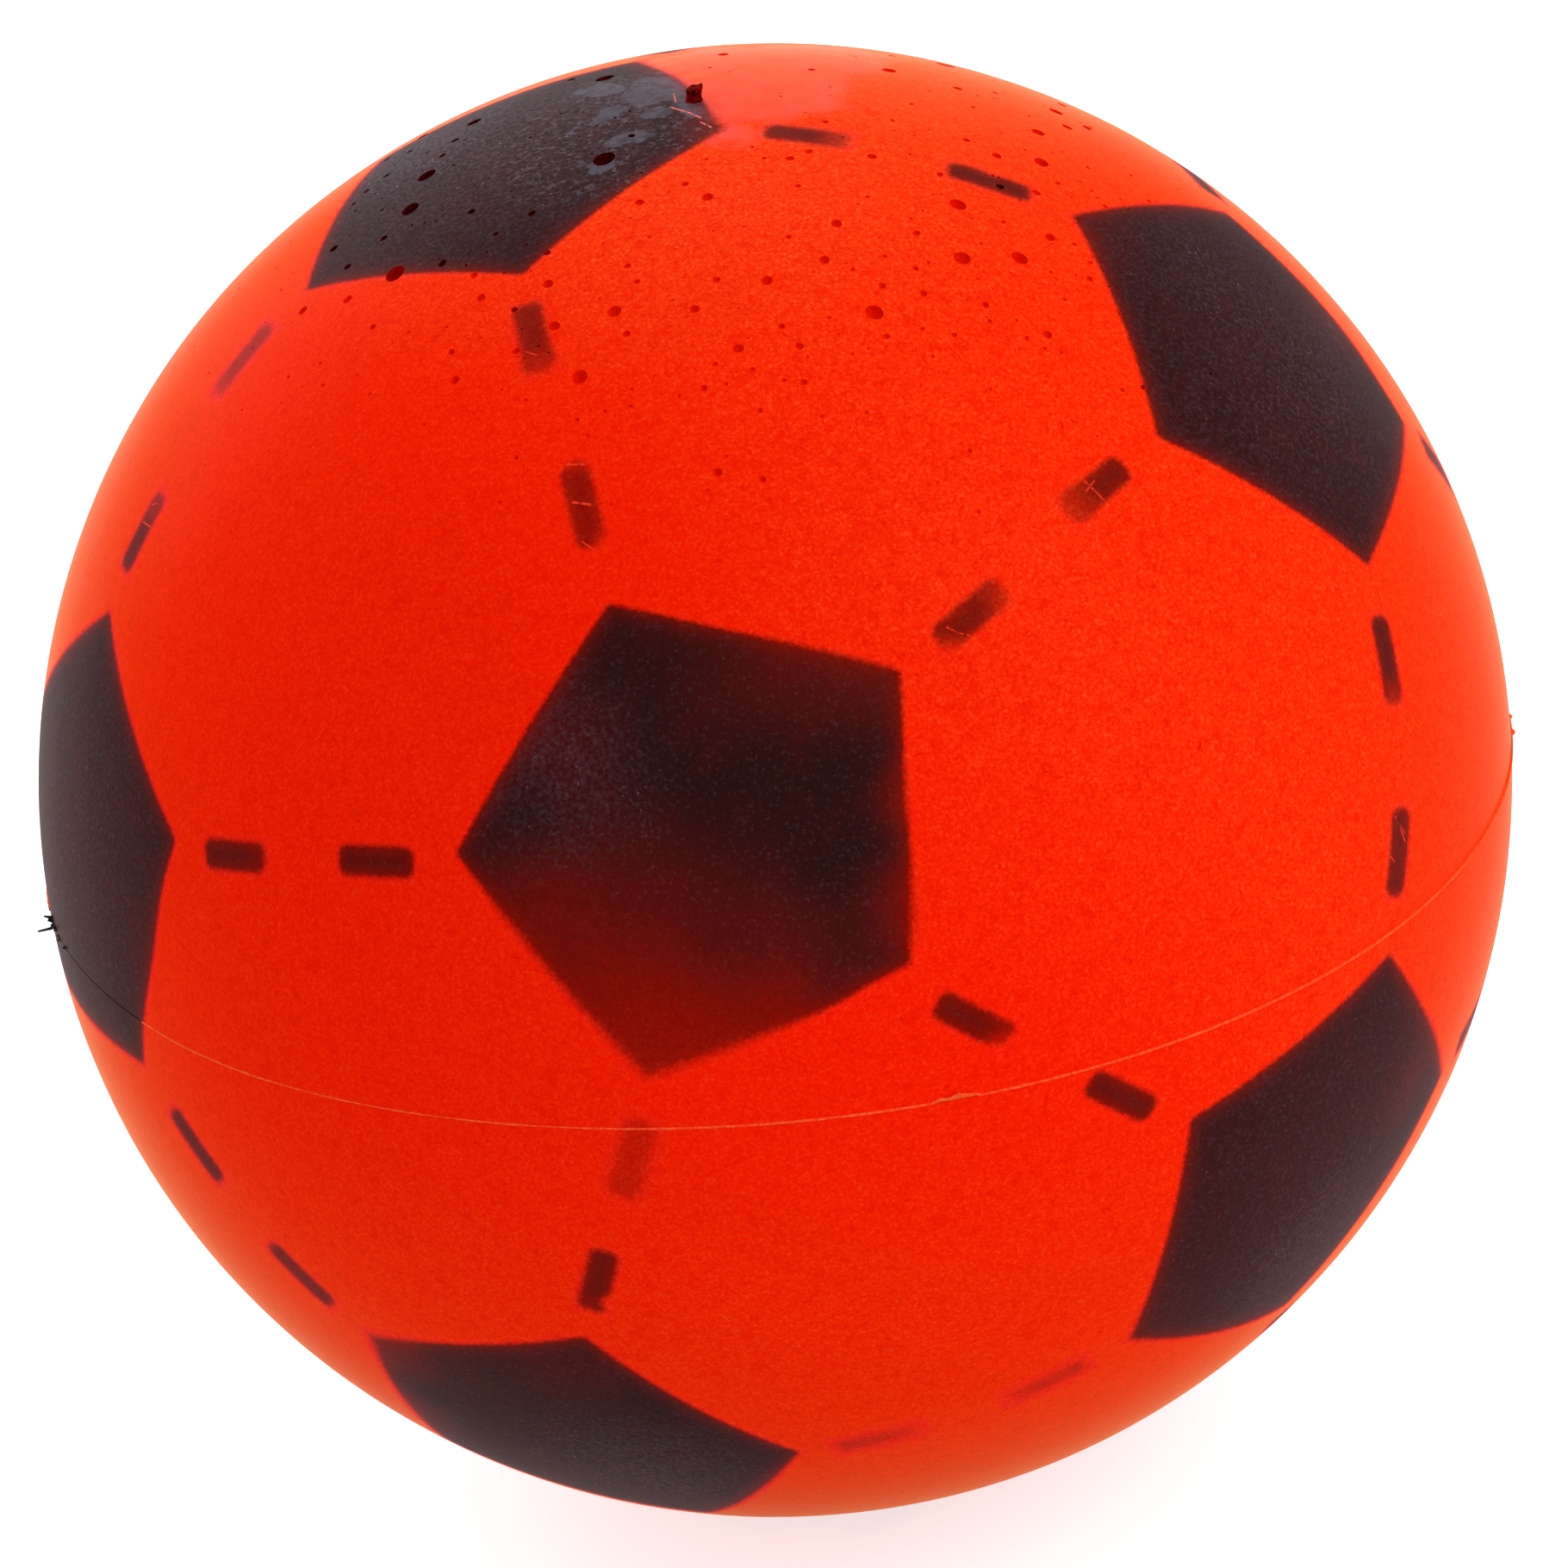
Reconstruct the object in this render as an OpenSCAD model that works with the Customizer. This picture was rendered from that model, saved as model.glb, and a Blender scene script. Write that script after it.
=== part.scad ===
// Soft moulded foam play ball with a printed football pattern.
// The origin is the middle of the ball. +Z runs along the mould's opening direction and leaves
// through the vented half. The two mould halves met in the plane Z = 0.

/* [Ball] */
// Outside diameter of the moulded foam
ball_d = 200; // [180:1:230]
// Thickness of the dense skin that forms against the mould
skin_t = 2.5; // [1.5:0.1:4]

/* [Mould line] */
// How far the flash stands out of the skin
flash_h = 0.4; // [0.2:0.05:0.8]
// Thickness of the flash between the mould halves
flash_t = 0.4; // [0.2:0.05:0.8]
// Length of the torn tag at the side, along the mould line
side_tag_l = 5; // [3:0.5:8]
// How far the side tag stands out of the flash
side_tag_h = 1.5; // [0.5:0.1:3]
// Length of the small fin at the front, along the mould line
front_fin_l = 4; // [2:0.5:6]
// How far the front fin stands out of the flash
front_fin_h = 0.6; // [0.2:0.1:1.5]

/* [Vent] */
// Width of the torn vent stub at its foot
stub_w = 2.6; // [2.1:0.1:4]
// Width of the stub where it tore off
stub_top_w = 1.8; // [1:0.1:2]
// Height of the stub on its tall side
stub_h = 3; // [1.5:0.1:5]
// Distance of the stub from the pole, along the skin
stub_off = 4; // [0:0.5:10]
// Width of the widest air bubble that broke open round the vent
bubble_w = 3.2; // [2:0.1:4]

/* [Print] */
// How deep the print has soaked into the skin
print_t = 0.4; // [0.2:0.05:0.8]
// Reach of a pentagon from its middle to a corner, along the skin
pentagon_reach = 31.3; // [26:0.1:34]
// Length of a printed dash
dash_l = 11.2; // [8:0.1:13]
// Width of a printed dash
dash_w = 4; // [3.2:0.1:6]
// Radius of a dash's corners
dash_corner_r = 1.5; // [0.8:0.1:1.9]

/* [Hidden] */
$fn = 240;
bubble_fn = 48;
ball_r = ball_d / 2;
core_r = ball_r - skin_t;
flash_r = ball_r + flash_h;
print_floor_r = ball_r - print_t;
// How far each cutting shape runs past what it cuts
overrun = 2;

// Where the whole print sits on the ball: its first pentagon's longitude and latitude, and the turn
// of the pattern about that pentagon's middle
print_lon = -96;
print_lat = 23;
print_spin = 53;

// How far the stencil slipped at each pentagon, in degrees: east, north, and turned on itself
pentagon_slips = [
    [-0.1, -1.4, 0.2], [-0.8, -0.5, 0], [0.2, 0.8, -0.3], [-0.1, 0.7, -0.5],
    [1.1, 0, 0.5], [0.5, 1.7, 0], [-0.5, 0.5, 1], [0.5, 0, -1],
    [-1, 1, 0.5], [0.5, -0.5, -1.5], [0, 1, 0.5], [0.5, -0.5, 1]
];
// Dashes that slipped further than their neighbours: seam, end, then how many degrees the dash
// moved along the seam, moved across it, and turned on itself
dash_slips = [
    [0, 0, -1, -0.8, 3], [0, 1, -0.6, -0.4, 2], [1, 0, -0.2, -0.5, 0], [1, 1, -0.2, 0.5, 0],
    [2, 0, 0.2, 0.2, -3], [2, 1, 1, 0.3, -1], [3, 0, -0.1, 0.8, -3], [3, 1, -0.1, 0.4, -3],
    [4, 0, 0.5, 0.7, -2], [4, 1, 0, 0.1, -2], [5, 0, 0.7, 0, -4], [5, 1, 0.3, 0, 2],
    [6, 0, 0.6, 0.3, 0], [6, 1, 0.7, 0, 0], [9, 0, 0, 0.2, 4], [9, 1, 0.7, 0.2, 1],
    [12, 0, -0.2, -1.1, -1], [12, 1, 0.5, 0, -5], [15, 0, 0.9, 0.4, 1], [15, 1, 0.2, -0.1, 0]
];

// Torn outline of the flash: shares of the tag's length and height
torn_share = [[0.12, 0.7], [0.3, 0.45], [0.42, 1], [0.58, 0.6], [0.75, 0.85]];
// Longitudes of the side tag and the front fin
side_tag_lon = -172;
front_fin_lon = -80;
// Longitude of the vent stub, and the slope of the tear across its top
stub_lon = -91;
stub_tear = 30;

// The larger bubbles, which rose to the vented cap: longitude, latitude, and share of the widest.
// The last two rows are the far side of the cap.
bubble_shares = [
    [-176, 69, 1], [-166, 67, 0.9], [-127, 78, 1], [-150, 62, 1], [-69, 58, 0.75], [-43, 58, 0.8],
    [-51, 60, 0.7], [-109, 56, 0.6], [-82, 63, 0.5], [-42, 65, 0.5], [-65, 67, 0.5], [-119, 58, 0.5],
    [-94, 62, 0.45], [-88, 58, 0.4], [-130, 62, 0.4], [-119, 64, 0.45], [-106, 62, 0.5],
    [-115, 60, 0.4], [-90, 73, 0.45], [-107, 73, 0.4], [-142, 64, 0.4], [-22, 66, 0.45],
    [-31, 64, 0.5], [-49, 52, 0.4], [-92, 48, 0.4], [-126, 55, 0.4], [-149, 69, 0.35],
    [20, 74, 0.6], [48, 62, 0.8], [75, 80, 0.5], [92, 67, 0.45], [118, 58, 0.7],
    [131, 76, 0.4], [150, 65, 0.55], [168, 71, 0.4], [8, 59, 0.45], [64, 54, 0.4]
];
// Radius of a bubble, as a share of the width of its mouth
bubble_r_share = 0.53;

// A full turn in fifths, and the latitude of an icosahedron's two rings of corners
fifth = 360 / 5;
ring_lat = atan(1 / 2);
deg_per_rad = 180 / PI;

function arc_deg(len) = len / ball_r * deg_per_rad;
function unit(v) = v / norm(v);
function at(lon, lat) = [cos(lat) * cos(lon), cos(lat) * sin(lon), sin(lat)];
function turn_z(v, a) = [v.x * cos(a) - v.y * sin(a), v.x * sin(a) + v.y * cos(a), v.z];
function turn_y(v, a) = [v.x * cos(a) + v.z * sin(a), v.y, v.z * cos(a) - v.x * sin(a)];
function east(v) = unit(cross([0, 0, 1], v));
function north(v) = cross(v, east(v));
function slid(v, lon_slip, lat_slip) = unit(v + tan(lon_slip) * east(v) + tan(lat_slip) * north(v));
// Heading on the ball at v towards w, and the point that lies an angle along a heading
function heading(v, w) = unit(w - (w * v) * v);
function along(v, head, angle) = cos(angle) * v + sin(angle) * head;
function turned(v, head, a) = cos(a) * head + sin(a) * cross(v, head);

// The twelve corners of an icosahedron, first as it stands on one corner, then as the print lies
function on_print(v) = turn_z(turn_y(turn_z(v, print_spin), 90 - print_lat), print_lon);
upright_dirs = concat(
    [at(0, 90)],
    [for (k = [0:4]) at(k * fifth, ring_lat)],
    [for (k = [0:4]) at((k + 1 / 2) * fifth, -ring_lat)],
    [at(0, -90)]
);
true_dirs = [for (v = upright_dirs) on_print(v)];
last = len(true_dirs) - 1;
print_dirs = [for (i = [0:last]) slid(true_dirs[i], pentagon_slips[i][0], pentagon_slips[i][1])];
function is_next(i, j) = i != j && true_dirs[i] * true_dirs[j] > 0;
function first_next(i) = [for (j = [0:last]) if (is_next(i, j)) j][0];

// A seam runs between two neighbouring pentagons, and holds two dashes at the quarter points of
// the bare stretch between their facing corners
seams = [for (i = [0:last], j = [i:last]) if (is_next(i, j)) [i, j]];
reach_deg = arc_deg(pentagon_reach);
function slip_of(seam, end) =
    let (found = [for (s = dash_slips) if (s[0] == seam && s[1] == end) s])
    len(found) > 0 ? found[0] : [seam, end, 0, 0, 0];
function dash_frame(seam, end) =
    let (
        a = print_dirs[seams[seam][0]],
        b = print_dirs[seams[seam][1]],
        head = heading(a, b),
        bare = acos(a * b) - 2 * reach_deg,
        slip = slip_of(seam, end),
        angle = reach_deg + bare * (1 + 2 * end) / 4 + slip[2],
        out = along(a, head, angle),
        ahead = along(head, -a, angle),
        middle = along(out, cross(out, ahead), slip[3])
    )
    [middle, turned(middle, ahead, slip[4])];

function two_digits(n) = n < 10 ? str("0", n) : str(n);
function pentagon_name(i) = str("pentagon_", two_digits(i + 1));
function seam_name(i) = str("dash_pair_", two_digits(i + 1));

foam = "OrangeRed";
ink = [0.13, 0.09, 0.1];

// Puts a shape that was drawn round +Z onto the ball at out, with its +X along ahead
module on_ball(out, ahead) {
    side = cross(out, ahead);
    multmatrix([
        [ahead.x, side.x, out.x, 0],
        [ahead.y, side.y, out.y, 0],
        [ahead.z, side.z, out.z, 0],
        [0, 0, 0, 1]
    ]) children();
}

// The soft open-cell middle of the moulding
module foam_core() {
    color([0.98, 0.45, 0.25]) sphere(core_r);
}

// One half of the skin, from the flash to its pole, with the print let into it: side is 1 or -1
module half_skin(side) {
    difference() {
        intersection() {
            sphere(ball_r);
            translate([0, 0, side * (ball_d + flash_t) / 2])
                cylinder(h = ball_d, r = ball_r + overrun, center = true);
        }
        sphere(core_r);
        difference() {
            union() {
                for (i = [0:last]) if (reaches_half(print_dirs[i], reach_deg, side)) pentagon_wedge(i);
                for (i = [0:len(seams) - 1], end = [0, 1])
                    if (reaches_half(dash_frame(i, end)[0], arc_deg(dash_l), side)) dash_wedge(i, end);
            }
            sphere(print_floor_r);
            stub_foot();
        }
        bubbles(at(0, side * 90), 90);
    }
}
// Whether a patch of print round a direction comes into the upper half, or the lower
function reaches_half(dir, reach, side) = asin(side * dir.z) > -reach;

module upper_skin() {
    color(foam) half_skin(1);
}

module lower_skin() {
    color(foam) half_skin(-1);
}

// A torn piece of flash, drawn flat, with its foot inside the ring of flash
module torn_flash(lon, length, height) {
    foot = [for (end = [1, -1]) polar(ball_r, lon + end * arc_deg(length) / 2)];
    edge = [for (p = torn_share) polar(flash_r + p[1] * height, lon + (p[0] - 1 / 2) * arc_deg(length))];
    polygon(concat(edge, foot));
}
function polar(r, a) = [r * cos(a), r * sin(a)];

// The foam that crept between the mould halves: a thin web through the skin that ends in a fine ridge
module parting_flash() {
    color([1, 0.45, 0.25]) translate([0, 0, -flash_t / 2]) linear_extrude(height = flash_t) difference() {
        union() {
            circle(flash_r);
            torn_flash(side_tag_lon, side_tag_l, side_tag_h);
            torn_flash(front_fin_lon, front_fin_l, front_fin_h);
        }
        circle(core_r);
    }
}

// The burst bubbles within reach of a direction. Each is a ball sunk in the skin as deep as leaves
// its mouth the right width.
module bubbles(dir, reach) {
    for (b = bubble_shares) {
        out = at(b[0], b[1]);
        mouth = b[2] * bubble_w;
        bubble_r = bubble_r_share * mouth;
        depth = sqrt(bubble_r * bubble_r - mouth * mouth / 4);
        if (acos(out * dir) < reach + arc_deg(bubble_w))
            translate(out * (ball_r - depth)) sphere(bubble_r, $fn = bubble_fn);
    }
}

stub_dir = at(stub_lon, 90 - arc_deg(stub_off));

// The bare foot that the print leaves round the vent stub
module stub_foot() {
    on_ball(stub_dir, east(stub_dir)) translate([0, 0, core_r]) cylinder(h = skin_t + overrun, d = stub_w);
}

// Foam that rose into the vent hole and tore off at a slant when the ball was pulled out
module vent_stub() {
    color([0.45, 0.1, 0.07]) difference() {
        on_ball(stub_dir, east(stub_dir)) difference() {
            translate([0, 0, core_r]) cylinder(h = skin_t + stub_h, d1 = stub_w, d2 = stub_top_w);
            translate([0, 0, ball_r + stub_h])
                rotate([0, -stub_tear, 0])
                    translate([-stub_w - overrun, -stub_w, 0])
                        cube([stub_w + overrun, 2 * stub_w, stub_h]);
        }
        sphere(ball_r);
    }
}

// The printed layer of skin inside a cutting shape, flush with the skin and broken at the mould line
module printed_layer() {
    difference() {
        intersection() {
            sphere(ball_r);
            children();
        }
        sphere(print_floor_r);
        cylinder(h = flash_t, r = ball_r + overrun, center = true);
    }
}

// A five-sided wedge from inside the skin to past it, whose sides all pass through the middle of
// the ball, so that the printed edges are great circles
module pentagon_wedge(i) {
    mid = print_dirs[i];
    head = heading(mid, true_dirs[first_next(i)]);
    corner_dirs = [
        for (k = [0:4]) along(mid, turned(mid, head, k * fifth + pentagon_slips[i][2]), reach_deg)
    ];
    low = [for (c = corner_dirs) c * core_r];
    high = [for (c = corner_dirs) c * (ball_r + overrun) / cos(reach_deg)];
    sides = [for (k = [0:4]) [k, k + 5, (k + 1) % 5 + 5, (k + 1) % 5]];
    polyhedron(concat(low, high), concat([[0, 1, 2, 3, 4], [9, 8, 7, 6, 5]], sides));
}

module pentagon(i) {
    color(ink) difference() {
        printed_layer() pentagon_wedge(i);
        stub_foot();
        bubbles(print_dirs[i], reach_deg);
    }
}

module dash_outline() {
    straight_l = dash_l - 2 * dash_corner_r;
    straight_w = dash_w - 2 * dash_corner_r;
    square([straight_l, dash_w], center = true);
    square([dash_l, straight_w], center = true);
    for (x = [-1, 1], y = [-1, 1])
        translate([x * straight_l / 2, y * straight_w / 2]) circle(dash_corner_r);
}

module dash_wedge(seam, end) {
    place = dash_frame(seam, end);
    on_ball(place[0], place[1])
        translate([0, 0, core_r]) linear_extrude(height = skin_t + overrun) dash_outline();
}

// The two dashes of one seam
module dash_pair(seam) {
    color(ink) for (end = [0, 1]) difference() {
        printed_layer() dash_wedge(seam, end);
        bubbles(dash_frame(seam, end)[0], arc_deg(dash_l));
    }
}

foam_core();
upper_skin();
lower_skin();
parting_flash();
vent_stub();
for (i = [0:last]) {
    pentagon(i);
}
for (i = [0:len(seams) - 1]) {
    dash_pair(i);
}
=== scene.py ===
import math
import random

import bpy
import numpy as np
from mathutils import Euler, Matrix, Vector, noise


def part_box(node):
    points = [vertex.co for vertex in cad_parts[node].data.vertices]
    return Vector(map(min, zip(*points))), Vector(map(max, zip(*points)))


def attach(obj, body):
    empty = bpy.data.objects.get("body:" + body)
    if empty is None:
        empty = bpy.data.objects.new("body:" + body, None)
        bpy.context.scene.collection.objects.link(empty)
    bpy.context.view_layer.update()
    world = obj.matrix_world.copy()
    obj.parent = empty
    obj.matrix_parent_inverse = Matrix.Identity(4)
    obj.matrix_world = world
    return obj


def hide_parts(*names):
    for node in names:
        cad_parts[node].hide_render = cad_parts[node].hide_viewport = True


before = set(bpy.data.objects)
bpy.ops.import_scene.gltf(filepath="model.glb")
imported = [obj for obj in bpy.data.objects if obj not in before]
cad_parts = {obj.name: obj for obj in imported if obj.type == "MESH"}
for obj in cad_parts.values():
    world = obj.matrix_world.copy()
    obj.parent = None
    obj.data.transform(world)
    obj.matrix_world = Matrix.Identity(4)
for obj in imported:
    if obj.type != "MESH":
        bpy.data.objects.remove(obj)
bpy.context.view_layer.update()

# A soft moulded foam play ball with a printed football pattern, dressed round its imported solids.
# Lengths are in metres. +Z is the mould's opening direction, out through the vented half.

MM = 0.001

ball_r = 100 * MM
core_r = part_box("foam_core")[1].z

# The photograph's view: the ball in its frame, and how the ball lay before the camera
photo_px = 1820
ball_centre_px = (900.1, 905.5)
ball_radius_px = 856.2
view_elevation = math.radians(25.2)
view_roll = math.radians(-6.8)
view_distance = 9 * ball_r
focal_px = ball_radius_px / math.tan(math.asin(ball_r / view_distance))

# Print: the same places and sizes as in the solids. Turns and slips are in degrees.
print_lon = -96
print_lat = 23
print_spin = 53
pentagon_reach = 31.3 * MM
dash_l = 11.2 * MM
dash_w = 4 * MM
dash_corner_r = 1.5 * MM
pentagon_slips = [
    (-0.1, -1.4, 0.2), (-0.8, -0.5, 0), (0.2, 0.8, -0.3), (-0.1, 0.7, -0.5),
    (1.1, 0, 0.5), (0.5, 1.7, 0), (-0.5, 0.5, 1), (0.5, 0, -1),
    (-1, 1, 0.5), (0.5, -0.5, -1.5), (0, 1, 0.5), (0.5, -0.5, 1),
]
dash_slips = {
    (0, 0): (-1, -0.8, 3), (0, 1): (-0.6, -0.4, 2), (1, 0): (-0.2, -0.5, 0), (1, 1): (-0.2, 0.5, 0),
    (2, 0): (0.2, 0.2, -3), (2, 1): (1, 0.3, -1), (3, 0): (-0.1, 0.8, -3), (3, 1): (-0.1, 0.4, -3),
    (4, 0): (0.5, 0.7, -2), (4, 1): (0, 0.1, -2), (5, 0): (0.7, 0, -4), (5, 1): (0.3, 0, 2),
    (6, 0): (0.6, 0.3, 0), (6, 1): (0.7, 0, 0), (9, 0): (0, 0.2, 4), (9, 1): (0.7, 0.2, 1),
    (12, 0): (-0.2, -1.1, -1), (12, 1): (0.5, 0, -5), (15, 0): (0.9, 0.4, 1), (15, 1): (0.2, -0.1, 0),
}
# The room left between the halves of the skin, and the flash in it
slit_t = 0.2 * MM
flash_t = 0.28 * MM
# How deep the inked skin goes, and how far a patch of it runs past the sharp edge of its print
inked_depth = 0.4 * MM
pentagon_margin = 2.2 * MM
dash_margin = 1.8 * MM
# Only prints whose middle lies this near a direction, as a cosine, are tried against it
near_enough = 0.8

# Burst bubbles as the photograph shows them: where in it, in pixels, and how wide their mouths are
seen_bubbles = [
    (702, 90, 23), (733, 157, 9), (714, 136, 5), (701, 184, 30), (692, 146, 4), (942, 80, 9),
    (824, 78, 6), (742, 234, 11), (795, 213, 9), (821, 228, 13), (820, 184, 5), (917, 183, 10),
    (887, 183, 6), (939, 175, 9), (873, 170, 5), (958, 141, 8), (926, 215, 7), (971, 259, 14),
    (915, 274, 7), (957, 301, 13), (890, 325, 13), (832, 324, 8), (739, 326, 7), (728, 308, 8),
    (753, 274, 5), (990, 312, 6), (906, 111, 4), (731, 252, 4), (1035, 64, 10),
    (1098, 75, 24), (1112, 102, 12), (1155, 107, 7), (1130, 124, 6), (1058, 120, 6), (1036, 139, 6),
    (1122, 162, 9), (1012, 181, 11), (1157, 180, 13), (1209, 188, 19), (1205, 153, 17),
    (1226, 129, 20), (1233, 121, 14), (1239, 147, 13), (1091, 202, 9), (1007, 228, 6),
    (1161, 216, 10), (1203, 223, 10), (1112, 237, 20), (1064, 270, 9), (1071, 244, 4),
    (1057, 253, 4), (1165, 257, 6), (1219, 275, 14), (1117, 299, 21), (1184, 299, 20),
    (1027, 297, 6), (1078, 304, 5), (1063, 311, 7), (1024, 331, 9), (1139, 282, 5), (1247, 283, 6),
    (1263, 194, 6), (1228, 212, 7), (1267, 221, 5), (1283, 239, 7), (1313, 203, 6), (1334, 233, 6),
    (1266, 304, 6), (1265, 323, 8), (1220, 315, 5), (1266, 147, 6), (1301, 231, 4), (1072, 340, 9),
    (550, 141, 20), (495, 203, 26), (476, 242, 26), (513, 180, 9), (449, 184, 11), (475, 175, 9),
    (448, 203, 10), (425, 221, 9), (410, 236, 7), (412, 244, 6), (443, 243, 6), (445, 276, 10),
    (387, 288, 12), (403, 309, 10), (458, 317, 26), (513, 305, 11), (550, 319, 9), (547, 245, 10),
    (617, 247, 10), (575, 271, 7), (615, 159, 5), (651, 131, 5), (635, 293, 9), (636, 329, 13),
    (496, 176, 7), (526, 191, 5), (435, 224, 4), (713, 361, 17), (806, 358, 12), (643, 378, 14),
    (727, 387, 9), (857, 404, 12), (907, 378, 8), (928, 401, 9), (962, 368, 5), (989, 410, 5),
    (830, 422, 6), (873, 428, 6), (910, 441, 6), (933, 443, 8), (843, 445, 5), (817, 450, 8),
    (788, 459, 5), (673, 437, 18), (882, 476, 7), (733, 451, 5), (732, 471, 5), (702, 477, 5),
    (670, 487, 5), (682, 505, 5), (833, 548, 11), (885, 556, 8), (709, 585, 4), (954, 483, 5),
    (1015, 362, 21), (1029, 390, 8), (1144, 353, 9), (1149, 372, 6), (1071, 381, 6), (1108, 388, 7),
    (1216, 388, 11), (1192, 392, 6), (1213, 404, 5), (1232, 409, 5), (1083, 413, 5), (1126, 523, 6),
    (1136, 594, 5), (1303, 452, 6), (1327, 449, 6), (1006, 478, 5), (1236, 347, 5), (403, 347, 12),
    (351, 360, 13), (558, 345, 11), (432, 379, 9), (474, 385, 5), (518, 379, 5), (524, 408, 9),
    (528, 441, 11), (371, 421, 5), (334, 437, 5), (429, 457, 5), (610, 464, 5), (599, 531, 6),
    (492, 492, 4), (599, 407, 10), (597, 359, 8), (326, 336, 5), (374, 447, 5),
    (1749, 908, 8),
]
bubble_px_per_mm = 9.1
# Wide ones on the side that it doesn't show: longitude, latitude and width in millimetres
hidden_bubbles = [
    (20, 74, 1.92), (48, 62, 2.56), (75, 80, 1.6), (92, 67, 1.44), (118, 58, 2.24),
    (131, 76, 1.28), (150, 65, 1.76), (168, 71, 1.28), (8, 59, 1.44), (64, 54, 1.28),
]
# Small ones scattered between them: how many, and the lowest, highest and commonest latitude
small_bubble_count = 520
small_bubble_lats = (40, 88, 62)
# How far apart bubbles stay, as a share of both widths, and how round a bubble is below its mouth
bubble_gap = 0.62
bubble_r_share = 0.53

stub_lon = -91
stub_off = 4 * MM


# Modelling helpers

def only(piece):
    """Selects one object and nothing else."""
    bpy.ops.object.select_all(action="DESELECT")
    piece.select_set(True)
    bpy.context.view_layer.objects.active = piece
    return piece


def added(name):
    """The primitive that was just added, under its own name and with its place in its mesh."""
    piece = bpy.context.object
    piece.name = piece.data.name = name
    only(piece)
    bpy.ops.object.transform_apply(location=True, rotation=True, scale=True)
    return piece


def fine_ball(name, detail, radius):
    bpy.ops.mesh.primitive_ico_sphere_add(subdivisions=detail, radius=radius)
    return added(name)


def apply_modifier(piece, kind, **settings):
    only(piece)
    modifier = piece.modifiers.new(kind.lower(), kind)
    for key, value in settings.items():
        setattr(modifier, key, value)
    bpy.ops.object.modifier_apply(modifier=modifier.name)
    return piece


def cut(piece, cutter, operation="DIFFERENCE"):
    return apply_modifier(piece, "BOOLEAN", operation=operation, solver="MANIFOLD", object=cutter)


def copied(piece, name, turn=None):
    twin = piece.copy()
    twin.data = piece.data.copy()
    twin.name = twin.data.name = name
    bpy.context.scene.collection.objects.link(twin)
    if turn is not None:
        twin.data.transform(turn)
    return twin


def joined(pieces, name):
    bpy.ops.object.select_all(action="DESELECT")
    for piece in pieces:
        piece.select_set(True)
    bpy.context.view_layer.objects.active = pieces[0]
    if len(pieces) > 1:
        bpy.ops.object.join()
    pieces[0].name = pieces[0].data.name = name
    return pieces[0]


def edit_all():
    """Goes into edit mode with the whole mesh selected."""
    bpy.ops.object.mode_set(mode="EDIT")
    bpy.ops.mesh.select_all(action="SELECT")


def facing_out():
    """Turns every face outward, and leaves edit mode."""
    bpy.ops.mesh.select_all(action="SELECT")
    bpy.ops.mesh.normals_make_consistent(inside=False)
    bpy.ops.object.mode_set(mode="OBJECT")


def loose_parts(piece):
    only(piece)
    bpy.ops.mesh.separate(type="LOOSE")
    return list(bpy.context.selected_objects)


def discard(*pieces):
    for piece in pieces:
        bpy.data.objects.remove(piece)


def points_of(piece):
    points = np.zeros(len(piece.data.vertices) * 3)
    piece.data.vertices.foreach_get("co", points)
    return points.reshape(-1, 3)


def face_middles(piece):
    middles = np.zeros(len(piece.data.polygons) * 3)
    piece.data.polygons.foreach_get("center", middles)
    return middles.reshape(-1, 3)


def place_points(piece, points):
    piece.data.vertices.foreach_set("co", np.asarray(points).ravel())
    piece.data.update()


def smooth(piece, angle=35):
    only(piece)
    bpy.ops.object.shade_smooth_by_angle(angle=math.radians(angle))
    return piece


def paint(piece, name, values):
    """Keeps a number, or three, for each corner of the mesh, for its material to read."""
    kind, key = ("FLOAT", "value") if values.ndim == 1 else ("FLOAT_VECTOR", "vector")
    layer = piece.data.attributes.new(name, kind, "POINT")
    layer.data.foreach_set(key, values.astype(np.float32).ravel())


# Directions on the ball

def at(lon, lat):
    lon, lat = math.radians(lon), math.radians(lat)
    return Vector((math.cos(lat) * math.cos(lon), math.cos(lat) * math.sin(lon), math.sin(lat)))


def on_ball(out, ahead):
    """The turn that takes +Z to a direction out of the ball, and +X to one along its skin."""
    ahead = (ahead - ahead.dot(out) * out).normalized()
    return Matrix((ahead, out.cross(ahead), out)).transposed()


def east(out):
    return Vector((0, 0, 1)).cross(out).normalized()


def slid(out, lon_slip, lat_slip):
    side = east(out)
    up = out.cross(side)
    moved = out + math.tan(math.radians(lon_slip)) * side + math.tan(math.radians(lat_slip)) * up
    return moved.normalized()


def heading(out, target):
    return (target - target.dot(out) * out).normalized()


def along(out, ahead, angle):
    return math.cos(angle) * out + math.sin(angle) * ahead


def seen_at(x, y):
    """The direction from the middle of the ball to what the photograph shows at a pixel."""
    turn = Euler((math.pi / 2 - view_elevation, 0, view_roll), "ZYX").to_matrix()
    ray = turn @ Vector((x - ball_centre_px[0], ball_centre_px[1] - y, -focal_px)).normalized()
    eye = turn @ Vector((0, 0, view_distance))
    square = eye.dot(ray) ** 2 - view_distance ** 2 + ball_r ** 2
    return (eye - (eye.dot(ray) + math.sqrt(max(0, square))) * ray).normalized()


# Where the print lies

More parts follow.
